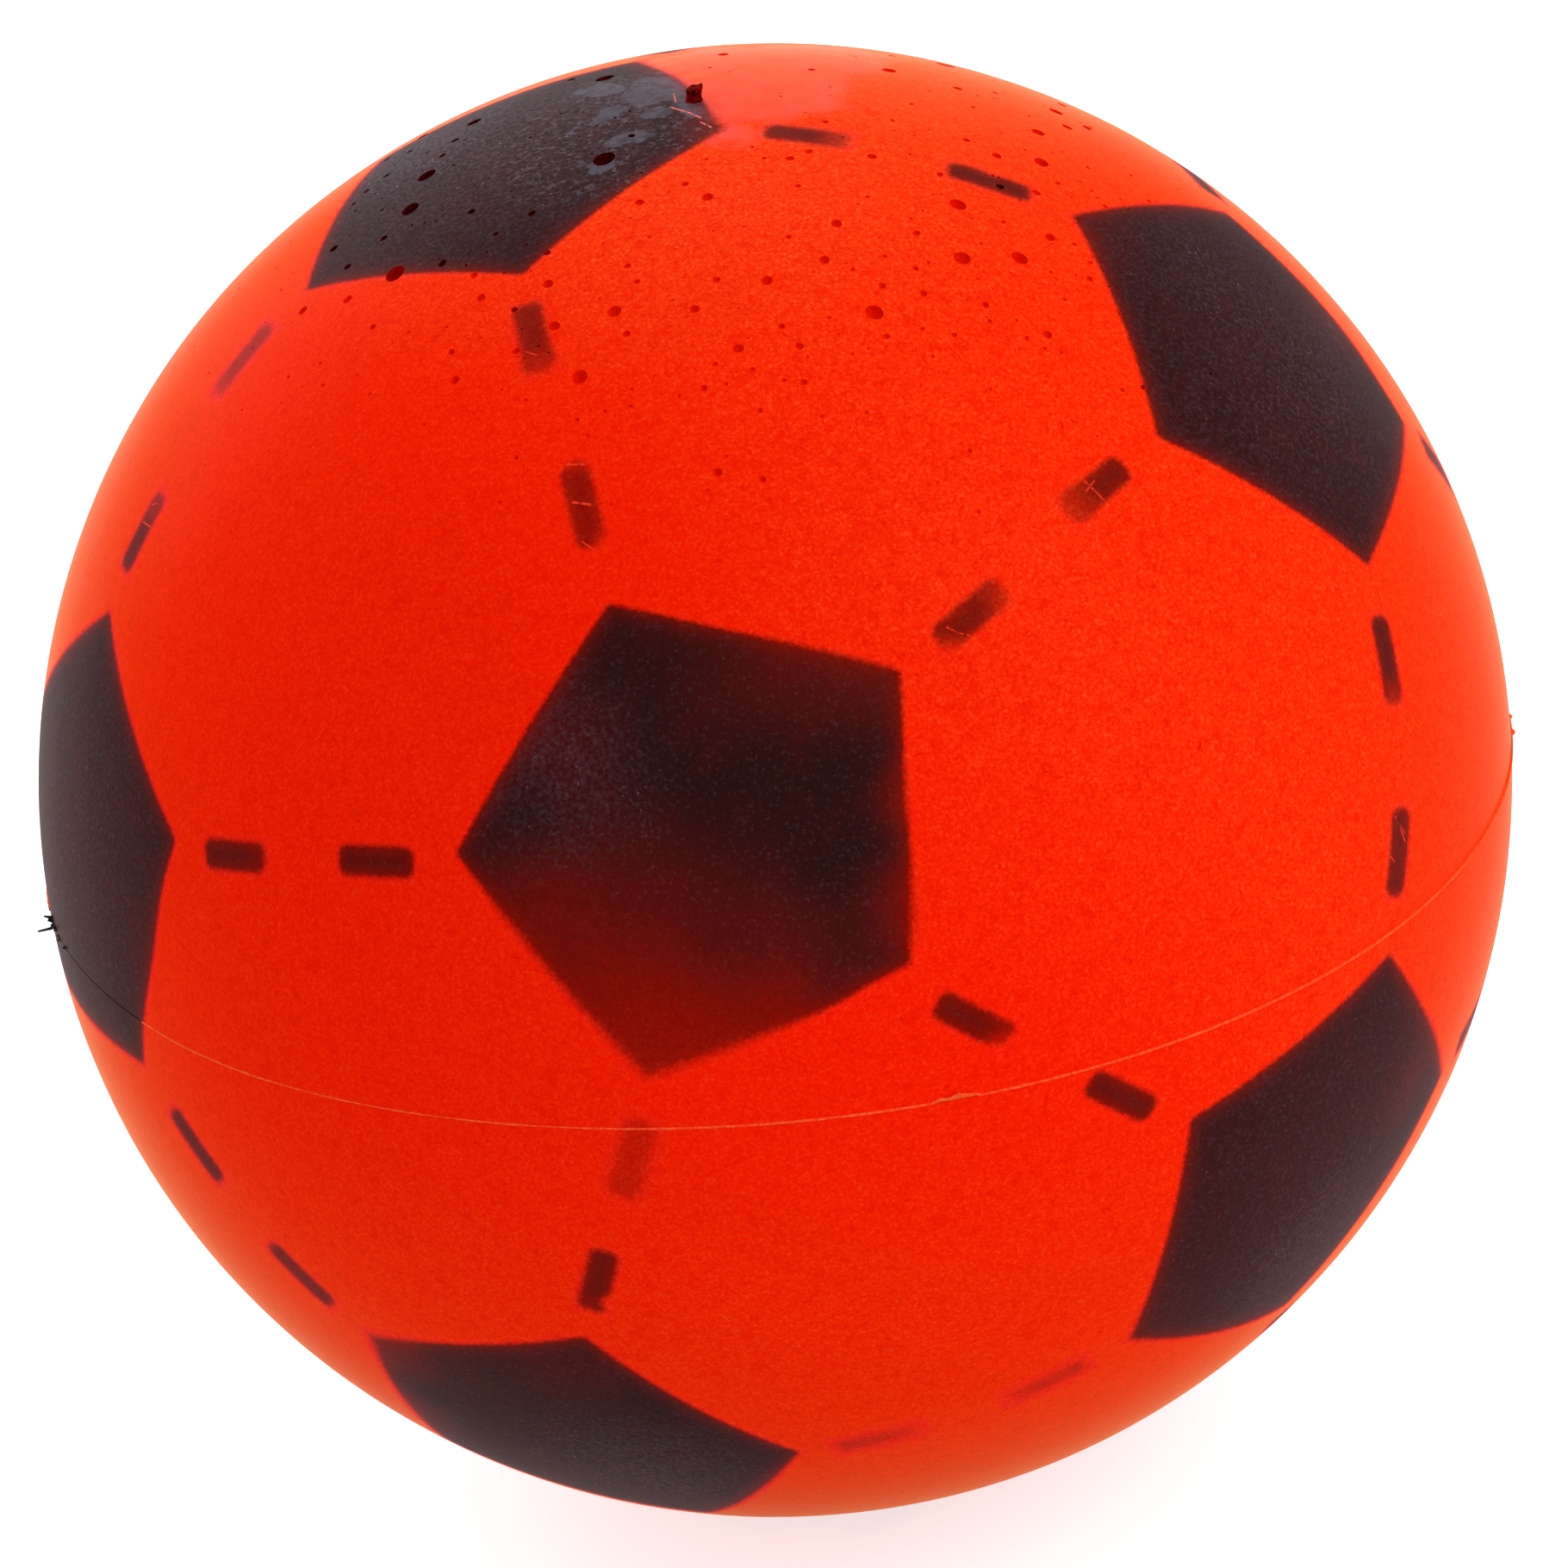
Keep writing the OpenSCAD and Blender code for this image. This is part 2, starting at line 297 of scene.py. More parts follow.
def icosahedron():
    """Its twelve corners, as the print lies on the ball."""
    ring_lat = math.degrees(math.atan(1 / 2))
    upright = [at(0, 90)]
    upright += [at(72 * k, ring_lat) for k in range(5)]
    upright += [at(72 * k + 36, -ring_lat) for k in range(5)]
    upright += [at(0, -90)]
    turn = (
        Matrix.Rotation(math.radians(print_lon), 3, "Z")
        @ Matrix.Rotation(math.radians(90 - print_lat), 3, "Y")
        @ Matrix.Rotation(math.radians(print_spin), 3, "Z")
    )
    return [turn @ corner for corner in upright]


true_dirs = icosahedron()
print_dirs = [slid(out, *slip[:2]) for out, slip in zip(true_dirs, pentagon_slips)]
seams = [(i, j) for i in range(12) for j in range(i + 1, 12) if true_dirs[i].dot(true_dirs[j]) > 0]
reach_angle = pentagon_reach / ball_r


def pentagon_place(i):
    """The turn that lays a flat pentagon, with a corner on +X, at its place on the ball."""
    out = print_dirs[i]
    near = next(true_dirs[j] for j in range(12) if j != i and true_dirs[i].dot(true_dirs[j]) > 0)
    twist = Matrix.Rotation(math.radians(pentagon_slips[i][2]), 3, "Z")
    return on_ball(out, heading(out, near)) @ twist


def dash_place(seam, end):
    """The turn that lays a flat dash, long on X, at its place on a seam."""
    a, b = (print_dirs[i] for i in seams[seam])
    head = heading(a, b)
    bare = a.angle(b) - 2 * reach_angle
    slip_along, slip_aside, slip_turn = dash_slips.get((seam, end), (0, 0, 0))
    angle = reach_angle + bare * (1 + 2 * end) / 4 + math.radians(slip_along)
    out = along(a, head, angle)
    ahead = along(head, -a, angle)
    middle = along(out, out.cross(ahead), math.radians(slip_aside))
    return on_ball(middle, ahead) @ Matrix.Rotation(math.radians(slip_turn), 3, "Z")


pentagon_places = [pentagon_place(i) for i in range(12)]
dash_places = {(seam, end): dash_place(seam, end) for seam in range(len(seams)) for end in (0, 1)}

# A pentagon on the flat print, in millimetres: which way its sides face, and how far out they lie
side_turns = [math.radians(36 + 72 * k) for k in range(5)]
apothem = 100 * math.tan(reach_angle) * math.cos(math.radians(36))


# Cutting shapes

def pentagon_wedge():
    """A five-sided wedge round +Z whose sides all lead to the middle of the ball."""
    low, high = ball_r - 7 * MM, ball_r + 2 * MM
    spread = math.tan(reach_angle) + pentagon_margin / ball_r / math.cos(math.radians(36))
    bpy.ops.mesh.primitive_cone_add(
        vertices=5, radius1=spread * low, radius2=spread * high, depth=high - low,
        location=(0, 0, (low + high) / 2), rotation=(0, 0, math.radians(-90)),
    )
    return added("pentagon_wedge")


def dash_wedge():
    """A rounded bar round +Z, through the skin."""
    bpy.ops.mesh.primitive_plane_add(size=1, location=(0, 0, ball_r - 2 * MM))
    bpy.context.object.scale = (dash_l + 2 * dash_margin, dash_w + 2 * dash_margin, 1)
    bar = added("dash_wedge")
    edit_all()
    bpy.ops.mesh.bevel(offset=dash_corner_r + dash_margin, segments=5, affect="VERTICES")
    bpy.ops.mesh.extrude_region_move(TRANSFORM_OT_translate={"value": (0, 0, 4 * MM)})
    facing_out()
    return bar


def print_pockets():
    """The room that the inked skin takes: every wedge, down to the depth of the ink."""
    pentagon, dash = pentagon_wedge(), dash_wedge()
    wedges = [copied(pentagon, "wedge", place.to_4x4()) for place in pentagon_places]
    wedges += [copied(dash, "wedge", place.to_4x4()) for place in dash_places.values()]
    pockets = joined(wedges, "print_pockets")
    floor = fine_ball("pocket_floor", 7, ball_r - inked_depth)
    cut(pockets, floor)
    discard(pentagon, dash, floor)
    return pockets


def line_height(lon):
    """How high the mould line wanders at a longitude in radians."""
    bulge = 0.8 * math.exp(-((math.degrees(lon) + 157) / 13) ** 2)
    return (1.0 * math.sin(2 * (lon + math.radians(165))) + 0.2 + bulge) * MM


def depth_in_print(out):
    """How far inside the nearest print's outline a direction lies, in millimetres; below 0 outside."""
    depths = [-9]
    for place in pentagon_places:
        if out.dot(place.col[2]) > near_enough:
            flat = out @ place
            sides = [flat[0] * math.cos(t) + flat[1] * math.sin(t) for t in side_turns]
            depths.append(apothem - max(sides) / flat[2] * 100)
    for place in dash_places.values():
        if out.dot(place.col[2]) > near_enough:
            flat = (out @ place) * 100
            depths.append(min(dash_l / MM / 2 - abs(flat[0]), dash_w / MM / 2 - abs(flat[1])))
    return max(depths)


def bubble_cutter():
    """All the bubbles, as one mesh of blobs sunk in the skin."""
    rng = random.Random(11)
    places = [(seen_at(x, y), width / bubble_px_per_mm * MM) for x, y, width in seen_bubbles]
    places += [(at(lon, lat), width * MM) for lon, lat, width in hidden_bubbles]
    wanted = len(places) + small_bubble_count
    eye = at(-90, math.degrees(view_elevation))
    while len(places) < wanted:
        lat = rng.triangular(*small_bubble_lats)
        out = at(rng.uniform(-180, 180), lat)
        # The ones beyond the photograph's reach vary as much as the ones in it
        spread = 0.2 if out.dot(eye) > 0.15 else 1.0
        width = (0.28 + spread * rng.random() ** 3) * MM
        if rng.random() > math.cos(math.radians(lat)) * 1.6:
            continue
        if all(out.angle(other) * ball_r > (width + w) * bubble_gap for other, w in places):
            places.append((out, width))
    blobs = []
    for detail in (3, 2):
        blobs.append(fine_ball("bubble", detail, 1))
        for material in (shaded_burst_foam, shaded_burst_edge_foam, shaded_burst_inked_foam):
            blobs[-1].data.materials.append(material)
    made = []
    for out, width in places:
        blob = blobs[0] if width > 0.75 * MM else blobs[1]
        r = bubble_r_share * width
        sunk = math.sqrt(r * r - width * width / 4)
        shape = Matrix.Diagonal((r * rng.uniform(0.92, 1.08), r * rng.uniform(0.85, 1.0), r, 1))
        turn = on_ball(out, east(out)) @ Matrix.Rotation(rng.uniform(0, 6.28), 3, "Z")
        move = Matrix.Translation(out * (ball_r - sunk))
        made.append(copied(blob, "bubble", move @ turn.to_4x4() @ shape))
        inside = depth_in_print(out)
        kind = 2 if inside > width / MM / 3 else 1 if inside > -width / MM / 3 else 0
        made[-1].data.polygons.foreach_set("material_index", [kind] * len(made[-1].data.polygons))
    discard(*blobs)
    return joined(made, "bubble_cutter")


def mould_slit(thickness):
    """A thin wavy washer that parts the two halves of the skin."""
    bpy.ops.mesh.primitive_circle_add(vertices=720, radius=core_r - 2 * MM)
    slit = added("mould_slit")
    edit_all()
    bpy.ops.mesh.extrude_region_move()
    share = (ball_r + 3 * MM) / (core_r - 2 * MM)
    bpy.ops.transform.resize(value=(share, share, 1))
    bpy.ops.object.mode_set(mode="OBJECT")
    points = points_of(slit)
    points[:, 2] = [line_height(math.atan2(y, x)) for x, y, _ in points]
    place_points(slit, points)
    return apply_modifier(slit, "SOLIDIFY", thickness=thickness, offset=0)


def moulded_ball():
    """The whole moulding as one closed ball, slightly uneven, before its bubbles are cut."""
    ball = fine_ball("moulded_ball", 8, ball_r)
    for cell, depth in ((30 * MM, 0.12 * MM), (8 * MM, 0.03 * MM)):
        clouds = bpy.data.textures.new("unevenness", "CLOUDS")
        clouds.noise_scale = cell
        apply_modifier(
            ball, "DISPLACE", texture=clouds, texture_coords="LOCAL", mid_level=1, strength=depth
        )
    return ball


# Finishes

def feed(tree, made, inputs):
    """Links or fills the inputs of a node."""
    for socket, value in inputs.items():
        if isinstance(value, bpy.types.NodeSocket):
            tree.links.new(value, made.inputs[socket])
        else:
            made.inputs[socket].default_value = value


def node(tree, kind, inputs=None, **settings):
    """Adds a shader or group node, sets it up and feeds it."""
    made = tree.nodes.new(kind if kind.startswith("Node") else "ShaderNode" + kind)
    for key, value in settings.items():
        setattr(made, key, value)
    feed(tree, made, inputs or {})
    return made


def maths(tree, operation, *values, clamp=False):
    inputs = dict(enumerate(values))
    return node(tree, "Math", inputs, operation=operation, use_clamp=clamp).outputs[0]


def times(tree, a, b):
    return maths(tree, "MULTIPLY", a, b)


def vector_maths(tree, operation, *values):
    made = node(tree, "VectorMath", dict(enumerate(values)), operation=operation)
    gives_number = operation in ("DISTANCE", "DOT_PRODUCT", "LENGTH")
    return made.outputs["Value" if gives_number else "Vector"]


def eased(tree, value, low, high):
    """0 below low, 1 above high, and a smooth step between."""
    inputs = {"Value": value, "From Min": low, "From Max": high}
    return node(tree, "MapRange", inputs, interpolation_type="SMOOTHSTEP").outputs[0]


def mixed(tree, share, a, b):
    return node(tree, "Mix", {0: share, 6: a, 7: b}, data_type="RGBA").outputs[2]


def cloud(tree, place, cell, detail=2, rough=0.5, curl=0):
    """Noise whose patches are about a cell across."""
    inputs = {
        "Vector": place, "Scale": 1 / cell, "Detail": detail, "Roughness": rough, "Distortion": curl,
    }
    return node(tree, "TexNoise", inputs).outputs[0]


def group(name, inputs, outputs):
    """An empty node group with its sockets, and its two end nodes."""
    tree = bpy.data.node_groups.new(name, "ShaderNodeTree")
    for way, sockets in (("INPUT", inputs), ("OUTPUT", outputs)):
        for socket in sockets:
            kind = "NodeSocketColor" if socket == "Colour" else "NodeSocketFloat"
            tree.interface.new_socket(socket, in_out=way, socket_type=kind)
    return tree, node(tree, "NodeGroupInput"), node(tree, "NodeGroupOutput")


def finish(name, flat_colour, gloss):
    """A material, its node tree and its shader."""
    material = bpy.data.materials.new(name)
    material.use_nodes = True
    material.diffuse_color = (*flat_colour, 1)
    tree = material.node_tree
    shader = tree.nodes["Principled BSDF"]
    feed(tree, shader, {"Specular IOR Level": gloss})
    return material, tree, shader


def give_sheen(tree, shader, weight):
    """The pale bloom of fine foam where it turns away from the eye."""
    feed(tree, shader, {
        "Sheen Weight": weight, "Sheen Roughness": sheen_rough, "Sheen Tint": sheen_tint,
    })


def dress(tree, shader, colour, rough, height, depth):
    """Gives a shader its colour, its roughness and its fine relief."""
    relief = node(tree, "Bump", {"Height": height, "Distance": depth}).outputs[0]
    feed(tree, shader, {"Base Color": colour, "Roughness": rough, "Normal": relief})


def slick_and_glare_share(tree, place):
    """1 on the smooth film that the mould left round the vent, and 0 on the plain skin; the film's colour
    carries a painted reflection.
    """
    warp = node(tree, "TexNoise", {"Vector": place, "Scale": 1 / (6 * MM), "Detail": 4})
    shift = vector_maths(tree, "SUBTRACT", warp.outputs["Color"], (0.5, 0.5, 0.5))
    shift = node(tree, "VectorMath", {0: shift, "Scale": 8 * MM}, operation="SCALE").outputs[0]
    moved = vector_maths(tree, "ADD", place, shift)
    share = None
    for x, y, radius in slick_and_glare_spots:
        spot = (x * MM, y * MM, math.sqrt(100 ** 2 - x * x - y * y) * MM)
        off = vector_maths(tree, "DISTANCE", moved, spot)
        near = eased(tree, off, (radius + 1) * MM, (radius - 3) * MM)
        share = near if share is None else maths(tree, "MAXIMUM", share, near)
    return share


def foam_surface():
    """The bare skin: bright foam in two slightly different tones, with a fine closed grain, and with
    painted light, shade and reflection laid over it.
    """
    tree, _, out = group("foam_surface", (), ("Colour", "Roughness", "Height", "Slick and glare"))
    place = node(tree, "TexCoord").outputs["Object"]
    # Painted light and shade: the foam turns a paler orange toward the lit east and the vent, and deeper
    # away from them, over a random mottle
    tone_and_light = vector_maths(tree, "DOT_PRODUCT", place, (20, 0, 17))
    tone_and_light = maths(tree, "MULTIPLY_ADD", cloud(tree, place, 30 * MM, 4, 0.55), 0.8, tone_and_light)
    plain = mixed(tree, eased(tree, tone_and_light, 0.8, 2.2), foam_deep_and_shaded, foam_bright_and_lit)
    # Painted light: the foam is paler toward the vent, as if lit from above, and, less so, below the mould
    # line, as if lit by the floor
    height = node(tree, "SeparateXYZ", {0: place}).outputs[2]
    plain = mixed(tree, eased(tree, height, 78 * MM, 106 * MM), plain, foam_painted_top_light)
    low = times(tree, eased(tree, height, 10 * MM, -40 * MM), 0.35)
    plain = mixed(tree, low, plain, foam_painted_floor_bounce)
    # Painted reflection of the overhead lamp: a faint pale pink glare round the vent, more of it toward
    # the back
    overhead_glare_share = vector_maths(tree, "DOT_PRODUCT", place, (0, 0.43, 0.9))
    overhead_glare_share = times(tree, eased(tree, overhead_glare_share, 82 * MM, 100 * MM), 0.4)
    plain = mixed(tree, overhead_glare_share, plain, foam_painted_overhead_reflection)
    grain = cloud(tree, place, 0.45 * MM, 2, 0.6, 0.6)
    mottle = cloud(tree, place, 1.4 * MM, 3, 0.6, 1)
    light_grains = times(tree, eased(tree, grain, 0.5, 0.72), 0.75)
    dark_grains = times(tree, eased(tree, grain, 0.52, 0.32), 0.6)
    dark_patches = times(tree, eased(tree, mottle, 0.52, 0.3), 0.6)
    paler = vector_maths(tree, "MULTIPLY_ADD", plain, (1.02, 2.7, 4), (0, 0, 0.006))
    colour = mixed(tree, light_grains, plain, paler)
    colour = mixed(tree, maths(tree, "MAXIMUM", dark_grains, dark_patches), colour, foam_dark_grain)
    # Short dark wisps where the skin wrinkled against the mould
    curls = cloud(tree, place, 1.5 * MM, 2, 0.5, 1.5)
    ridge = maths(tree, "ABSOLUTE", maths(tree, "SUBTRACT", curls, 0.5))
    wisps = times(tree, eased(tree, ridge, 0.025, 0.005), eased(tree, mottle, 0.55, 0.42))
    colour = mixed(tree, times(tree, wisps, 0.8), colour, foam_wisp)
    slick_and_glare = slick_and_glare_share(tree, place)
    # Painted reflection: the film is coloured pale pink, as a lamp mirrored in it would be; its lower
    # roughness is real
    film = mixed(tree, cloud(tree, place, 3 * MM, 3), foam_painted_film_reflection_faint, foam_painted_film_reflection)
    colour = mixed(tree, times(tree, slick_and_glare, 0.9), colour, film)
    rough = node(tree, "MapRange", {"Value": grain, "To Min": 0.25, "To Max": 0.39}).outputs[0]
    rough = maths(tree, "SUBTRACT", rough, times(tree, slick_and_glare, 0.08))
    waves = times(tree, cloud(tree, place, 3 * MM, 2), 1.5)
    grit = times(tree, grain, maths(tree, "SUBTRACT", 1, slick_and_glare))
    # The film itself is rippled, with the ripples running out from the vent
    drawn = vector_maths(tree, "MULTIPLY", place, (1, 0.45, 1))
    ripples = times(tree, cloud(tree, drawn, 1.3 * MM, 3, 0.6, 0.8), film_ripple)
    ripples = times(tree, ripples, slick_and_glare)
    relief = maths(tree, "ADD", maths(tree, "ADD", grit, waves), ripples)
    feed(tree, out, {"Colour": colour, "Roughness": rough, "Height": relief, "Slick and glare": slick_and_glare})
    return tree


def inked_surface():
    """Black stencil ink over the skin. Cover is 0 on bare foam and 1 under solid ink, and Bloom is
    the grey dust on the ink."""
    tree, given, out = group("inked_surface", ("Cover", "Bloom"), ("Colour", "Roughness", "Height"))
    given = given.outputs
    bare = node(tree, "Group", node_tree=foam_group).outputs
    place = node(tree, "TexCoord").outputs["Object"]
    grain = cloud(tree, place, 0.6 * MM, 3, 0.65)
    light_ink = times(tree, eased(tree, grain, 0.52, 0.78), 0.75)
    ink = mixed(tree, light_ink, ink_black, ink_grain)
    dusty = times(tree, given["Bloom"], eased(tree, grain, 0.36, 0.64))
    ink = mixed(tree, dusty, ink, ink_bloom)
    # Pale dust caught in single open pores
    pores = cloud(tree, place, 0.55 * MM, 1)
    thick = eased(tree, cloud(tree, place, 6 * MM, 3, 0.6), 0.35, 0.65)
    pores = times(tree, eased(tree, pores, 0.68, 0.8), thick)
    dusted = maths(tree, "MULTIPLY_ADD", given["Bloom"], 1.6, 0.06, clamp=True)
    ink = mixed(tree, times(tree, pores, dusted), ink, ink_speck)
    # Near the vent the ink is pocked and wrinkled, with painted pale highlights among the pocks, between
    # smooth patches of film that carry a painted grey-blue reflection
    off = vector_maths(tree, "DISTANCE", place, pocked_middle)
    drawn = vector_maths(tree, "MULTIPLY", place, (0.85, 1, 1))
    pocks = cloud(tree, drawn, 0.9 * MM, 3, 0.7, 0.6)
    near_vent = eased(tree, off, 24 * MM, 13 * MM)
    for low, high, colour in ((0.51, 0.67, ink_pock_painted_highlight), (0.48, 0.36, ink_pock)):
        ink = mixed(tree, times(tree, near_vent, eased(tree, pocks, low, high)), ink, colour)
    film = eased(tree, cloud(tree, drawn, 1.8 * MM, 4, 0.65, 1), 0.35, 0.6)
    film = mixed(tree, film, ink_painted_film_reflection_faint, ink_painted_film_reflection)
    film_glare_share = times(tree, eased(tree, bare["Slick and glare"], 0.45, 0.6), 0.85)
    ink = mixed(tree, film_glare_share, ink, film)
    # Thin ink stains the foam a deep red
    ink = mixed(tree, eased(tree, given["Cover"], 0.75, 0.97), ink_stain, ink)
    colour = mixed(tree, given["Cover"], bare["Colour"], ink)
    rough = maths(tree, "ADD", bare["Roughness"], 0.18)
    feed(tree, out, {"Colour": colour, "Roughness": rough, "Height": bare["Height"]})
    return tree


def foam_finish(name):
    material, tree, shader = finish(name, (0.9, 0.02, 0.002), foam_gloss)
    give_sheen(tree, shader, foam_sheen)
    bare = node(tree, "Group", node_tree=foam_group).outputs
    dress(tree, shader, bare["Colour"], bare["Roughness"], bare["Height"], grain_depth)
    return material


def pentagon_distance(tree, place):
    """How far outside the pentagon's outline a place on the print lies, in millimetres."""
    far = None
    for turn in side_turns:
        side = (math.cos(turn), math.sin(turn), 0)
        reach = vector_maths(tree, "DOT_PRODUCT", place, side)
        far = reach if far is None else maths(tree, "SMOOTH_MAX", far, reach, 1.2)
    return maths(tree, "SUBTRACT", far, apothem)


def dash_distance(tree, place):
    """How far outside the dash's rounded outline a place on the print lies, in millimetres."""
    corner = dash_corner_r / MM
    half = (dash_l / MM / 2 - corner, dash_w / MM / 2 - corner, 0)
    past = vector_maths(tree, "SUBTRACT", vector_maths(tree, "ABSOLUTE", place), half)
    apart = node(tree, "SeparateXYZ", {0: past}).outputs
    outside = vector_maths(tree, "LENGTH", vector_maths(tree, "MAXIMUM", past, (0, 0, 0)))
    inside = maths(tree, "MINIMUM", maths(tree, "MAXIMUM", apart[0], apart[1]), 0)
    return maths(tree, "SUBTRACT", maths(tree, "ADD", outside, inside), corner)


def scratch_mark(tree, place, start, end, width):
    """1 along a scratch between two places on the print, and 0 away from it."""
    run = (end[0] - start[0], end[1] - start[1], 0)
    length_squared = run[0] ** 2 + run[1] ** 2
    reach = vector_maths(tree, "SUBTRACT", place, (*start, 0))
    share = vector_maths(tree, "DOT_PRODUCT", reach, run)
    share = maths(tree, "MULTIPLY", share, 1 / length_squared, clamp=True)
    nearest = node(tree, "VectorMath", {0: run, "Scale": share}, operation="SCALE").outputs[0]
    off = vector_maths(tree, "DISTANCE", reach, nearest)
    return eased(tree, off, width / 2, width / 6)


def print_finish(name, outline, scratches=(), scratch_colour=(0.97, 0.05, 0.015, 1)):
    """Stencil ink that thins out and blurs as its piece was painted to, with bare scratches in it."""
    material, tree, shader = finish(name, (0.02, 0.01, 0.01), ink_gloss)
    flat = node(tree, "Attribute", attribute_name="print_mm").outputs["Vector"]
    wear = node(tree, "Attribute", attribute_name="ink_wear").outputs["Vector"]
    wear = node(tree, "SeparateXYZ", {0: wear}).outputs
    thin, blur, spread = wear[0], wear[1], wear[2]
    bloom = node(tree, "Attribute", attribute_name="ink_bloom").outputs["Fac"]
    place = node(tree, "TexCoord").outputs["Object"]
    ragged = cloud(tree, place, 0.5 * MM, 2, 0.6)
    ragged = times(tree, maths(tree, "SUBTRACT", ragged, 0.5), maths(tree, "ADD", blur, 0.3))
    outside = maths(tree, "ADD", maths(tree, "SUBTRACT", outline(tree, flat), spread), ragged)
    cover = eased(tree, outside, blur, times(tree, blur, -1))
    # The ink is thinner along its edges, where less of it got under the stencil
    depth = maths(tree, "MINIMUM", maths(tree, "DIVIDE", outside, edge_thinning_mm), 0)
    edge_thin = times(tree, maths(tree, "EXPONENT", depth), edge_thinning)
    patchy = cloud(tree, place, 5 * MM, 5, 0.65)
    patchy = times(tree, eased(tree, patchy, 0.45, 0.75), 0.014)
    grain = cloud(tree, place, 0.5 * MM, 2, 0.6)
    grainy = times(tree, eased(tree, grain, 0.5, 0.75), times(tree, thin, 0.3))
    solid = maths(tree, "SUBTRACT", 0.995, maths(tree, "ADD", patchy, grainy))
    solid = maths(tree, "SUBTRACT", maths(tree, "SUBTRACT", solid, thin), edge_thin, clamp=True)
    cover = times(tree, cover, solid)
    inked = node(tree, "Group", {"Cover": cover, "Bloom": bloom}, node_tree=inked_group).outputs
    colour = inked["Colour"]
    for start, end, width in scratches:
        mark = times(tree, scratch_mark(tree, flat, start, end, width), 0.85)
        mark = times(tree, mark, eased(tree, grain, 0.35, 0.5))
        colour = mixed(tree, mark, colour, scratch_colour)
    dress(tree, shader, colour, inked["Roughness"], inked["Height"], grain_depth)
    return material


def torn_finish(name, deep, raised, cell, sheen=0):
    """Foam that tore or burst open: a rough broken surface in two tones, with painted shade in the hollows
    of its relief and painted light on its crests.
    """
    material, tree, shader = finish(name, raised, foam_gloss)
    give_sheen(tree, shader, sheen)
    place = node(tree, "TexCoord").outputs["Object"]
    broken = cloud(tree, place, cell, 4, 0.7)
    colour = mixed(tree, eased(tree, broken, 0.4, 0.65), (*deep, 1), (*raised, 1))
    rough = node(tree, "MapRange", {"Value": broken, "To Min": 0.45, "To Max": 0.8}).outputs[0]
    dress(tree, shader, colour, rough, broken, 0.3 * cell)
    return material


def open_cell_finish(name):
    """Soft open-cell foam, as it would show if the ball were cut."""
    material, tree, shader = finish(name, (0.95, 0.2, 0.08), foam_gloss)
    place = node(tree, "TexCoord").outputs["Object"]
    cells = node(tree, "TexVoronoi", {"Vector": place, "Scale": 1 / (0.9 * MM)})
    cells = cells.outputs["Distance"]
    # Painted shade: the hollows of the cells are darker
    colour = mixed(tree, eased(tree, cells, 0.1, 0.6), (0.5, 0.03, 0.01, 1), (0.95, 0.16, 0.05, 1))
    rough = node(tree, "MapRange", {"Value": cells, "To Min": 0.7, "To Max": 0.95}).outputs[0]
    dress(tree, shader, colour, rough, cells, 0.3 * MM)
    return material


foam_gloss = 0.003
foam_sheen = 0.31
flash_sheen = 0.45
sheen_rough = 0.34
sheen_tint = (1, 0.72, 0.04, 1)
ink_gloss = 0.02
grain_depth = 0.02 * MM
film_ripple = 5
# The deep and bright tones double as painted shade on the unlit side and painted light on the lit side
foam_deep_and_shaded = (0.97, 0.0125, 0.0002, 1)
foam_bright_and_lit = (0.97, 0.025, 0.0015, 1)
# Painted light from above, toward the vent
foam_painted_top_light = (0.97, 0.045, 0.005, 1)
# Painted reflection of the overhead lamp
foam_painted_overhead_reflection = (0.97, 0.06, 0.04, 1)
# Painted light thrown back by the floor, low on the ball
foam_painted_floor_bounce = (0.97, 0.034, 0.002, 1)
foam_dark_grain = (0.87, 0.0045, 0.0001, 1)
foam_wisp = (0.8, 0.004, 0.0001, 1)
# Painted reflection on the smooth film round the vent
foam_painted_film_reflection_faint = (0.95, 0.05, 0.025, 1)
foam_painted_film_reflection = (0.97, 0.1, 0.075, 1)
ink_black = (0.014, 0.0043, 0.0045, 1)
ink_grain = (0.05, 0.027, 0.031, 1)
ink_bloom = (0.072, 0.064, 0.085, 1)
ink_speck = (0.27, 0.26, 0.29, 1)
ink_stain = (0.016, 0.001, 0.0003, 1)
ink_pock = (0.018, 0.01, 0.012, 1)
# Painted pale highlight among the pocks near the vent
ink_pock_painted_highlight = (0.085, 0.078, 0.092, 1)
# Painted grey-blue reflection on the film over the ink
ink_painted_film_reflection_faint = (0.045, 0.042, 0.054, 1)
ink_painted_film_reflection = (0.085, 0.082, 0.106, 1)
# Along a print's edges: how much thinner the ink is, over what width, and how far it blurs
edge_thinning = 0.2
edge_thinning_mm = 1.1
edge_blur = 0.5
dash_edge_blur = 0.55
# A dash thinner than this leaves the flash under it bare
faint_ink = 0.3

# The smooth film round the vent, which also carries a painted reflection: east, north and radius, in
# millimetres
slick_and_glare_spots = [
    (8, 0, 13), (17, 15, 11), (3, 14, 10), (4, -15, 4), (-5, 2, 6.5), (1, -8, 4.5), (-12, -4, 4),
    (-9, -13, 3.5), (-14, -18, 3.5), (-5, -7, 3), (-12, 7, 4),
]
pocked_middle = (-9 * MM, -8 * MM, 99 * MM)

foam_group = foam_surface()
inked_group = inked_surface()
skin_foam = foam_finish("skin_foam")
pentagon_ink = print_finish("pentagon_ink", pentagon_distance)
dash_ink = print_finish("dash_ink", dash_distance)
